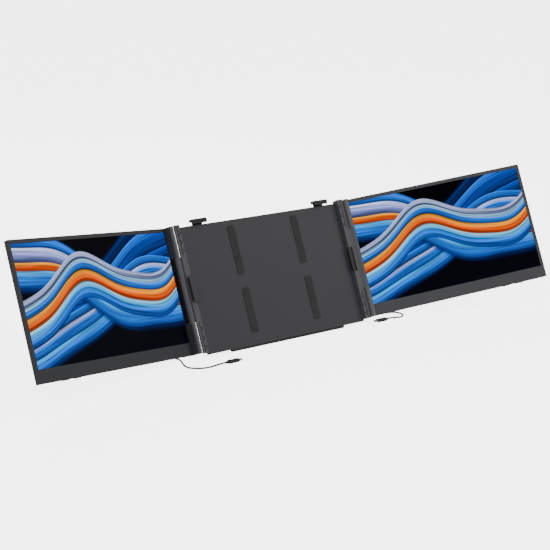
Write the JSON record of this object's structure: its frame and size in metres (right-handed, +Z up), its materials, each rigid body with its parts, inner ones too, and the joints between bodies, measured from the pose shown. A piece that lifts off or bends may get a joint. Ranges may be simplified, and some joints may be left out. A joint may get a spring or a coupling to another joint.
{
  "type": "laptop screen extender",
  "caption": "Frame that hangs behind a laptop's lid, on a foot and kickstand, with a hinged screen on each side that opens outward, sprung clips, push buttons and USB-C cords.",
  "frame": {"origin": "on the desk, at the middle of the rubber foot under the frame", "axes": "+Z up, +X to the user's right, along the two screens, +Y away from the user; the frame leans back 24.6 degrees, and the screens stand as in the picture"},
  "size_m": [1.0523, 0.2147, 0.2588],
  "materials": {
    "casing_grey": "fine matt",
    "bezel_grey": "fine matt",
    "post_grey": "satin",
    "cover_grey": "fine matt",
    "clip_black": "matt",
    "clamp_grey": "matt",
    "display": "glossy, lit from behind",
    "backlight": "matt",
    "board_green": "satin",
    "steel": "bright",
    "screw_black": "blackened",
    "brass": "satin",
    "rubber_black": "matt",
    "button_black": "matt",
    "plug_black": "satin",
    "plug_steel": "bright",
    "cord_black": "braided"
  },
  "bodies": {
    "frame": {"frame_tray": "casing_grey", "frame_rear_cover": "cover_grey", "left_post": "post_grey", "right_post": "post_grey", "frame_pads": "rubber_black", "frame_screws": "screw_black", "foot_strip": "rubber_black", "left_clip_spring": "steel", "right_clip_spring": "steel", "left_clamp_spring": "steel", "right_clamp_spring": "steel", "kickstand_pins": "steel", "left_hinge_bushings": "brass", "right_hinge_bushings": "brass", "left_cord": "cord_black", "right_cord": "cord_black", "left_laptop_plug": "plug_black", "left_laptop_plug_shell": "plug_steel", "right_laptop_plug": "plug_black", "right_laptop_plug_shell": "plug_steel"},
    "left_screen": {"left_rear_cover": "casing_grey", "left_port_bay": "casing_grey", "left_inner_ribs": "casing_grey", "left_front_bezel": "bezel_grey", "left_display_glass": "display", "left_backlight": "backlight", "left_driver_board": "board_green", "left_usb_sockets": "steel", "left_hinge_pins": "steel", "left_cover_screws": "screw_black", "left_screen_plug": "plug_black", "left_screen_plug_shell": "plug_steel"},
    "right_screen": {"right_rear_cover": "casing_grey", "right_port_bay": "casing_grey", "right_inner_ribs": "casing_grey", "right_front_bezel": "bezel_grey", "right_display_glass": "display", "right_backlight": "backlight", "right_driver_board": "board_green", "right_usb_sockets": "steel", "right_hinge_pins": "steel", "right_cover_screws": "screw_black", "right_screen_plug": "plug_black", "right_screen_plug_shell": "plug_steel"},
    "left_top_clip": {"left_top_clip": "clip_black"},
    "right_top_clip": {"right_top_clip": "clip_black"},
    "left_side_clamp": {"left_side_clamp": "clamp_grey"},
    "right_side_clamp": {"right_side_clamp": "clip_black"},
    "kickstand": {"kickstand": "cover_grey", "kickstand_tip": "rubber_black"},
    "left_power_button": {"left_power_button": "button_black"},
    "left_menu_button": {"left_menu_button": "button_black"},
    "right_power_button": {"right_power_button": "button_black"},
    "right_menu_button": {"right_menu_button": "button_black"}
  },
  "joints": [
    {"name": "left_screen_hinge", "type": "hinge", "parent": "frame", "child": "left_screen", "pos_m": [-0.1837, 0.04487, 0.10893], "axis": [0, 0.4163, 0.9092], "range_deg": [-19.9, 160.1], "deforming": ["left_cord"]},
    {"name": "right_screen_hinge", "type": "hinge", "parent": "frame", "child": "right_screen", "pos_m": [0.1837, 0.03578, 0.11309], "axis": [0, -0.4163, -0.9092], "range_deg": [-19, 161], "deforming": ["right_cord"]},
    {"name": "left_top_clip_slide", "type": "slide", "parent": "frame", "child": "left_top_clip", "axis": [0, 0.4163, 0.9092], "range_m": [0, 0.012], "stiffness_N_per_m": 150, "springref_m": -0.01, "deforming": ["left_clip_spring"]},
    {"name": "right_top_clip_slide", "type": "slide", "parent": "frame", "child": "right_top_clip", "axis": [0, 0.4163, 0.9092], "range_m": [0, 0.012], "stiffness_N_per_m": 150, "springref_m": -0.01, "deforming": ["right_clip_spring"]},
    {"name": "left_side_clamp_slide", "type": "slide", "parent": "frame", "child": "left_side_clamp", "axis": [-1, 0, 0], "range_m": [0, 0.003], "stiffness_N_per_m": 500, "springref_m": -0.004, "deforming": ["left_clamp_spring"]},
    {"name": "right_side_clamp_slide", "type": "slide", "parent": "frame", "child": "right_side_clamp", "axis": [1, 0, 0], "range_m": [0, 0.003], "stiffness_N_per_m": 500, "springref_m": -0.004, "deforming": ["right_clamp_spring"]},
    {"name": "kickstand_hinge", "type": "hinge", "parent": "frame", "child": "kickstand", "pos_m": [0, 0.04913, 0.10478], "axis": [-1, 0, 0], "range_deg": [0, 42.49]},
    {"name": "left_power_button_press", "type": "slide", "parent": "left_screen", "child": "left_power_button", "axis": [0, 0.4163, 0.9092], "range_m": [0, 0.0006], "stiffness_N_per_m": 800, "springref_m": -0.0005},
    {"name": "left_menu_button_press", "type": "slide", "parent": "left_screen", "child": "left_menu_button", "axis": [0, 0.4163, 0.9092], "range_m": [0, 0.0006], "stiffness_N_per_m": 800, "springref_m": -0.0005},
    {"name": "right_power_button_press", "type": "slide", "parent": "right_screen", "child": "right_power_button", "axis": [0, 0.4163, 0.9092], "range_m": [0, 0.0006], "stiffness_N_per_m": 800, "springref_m": -0.0005},
    {"name": "right_menu_button_press", "type": "slide", "parent": "right_screen", "child": "right_menu_button", "axis": [0, 0.4163, 0.9092], "range_m": [0, 0.0006], "stiffness_N_per_m": 800, "springref_m": -0.0005}
  ]
}
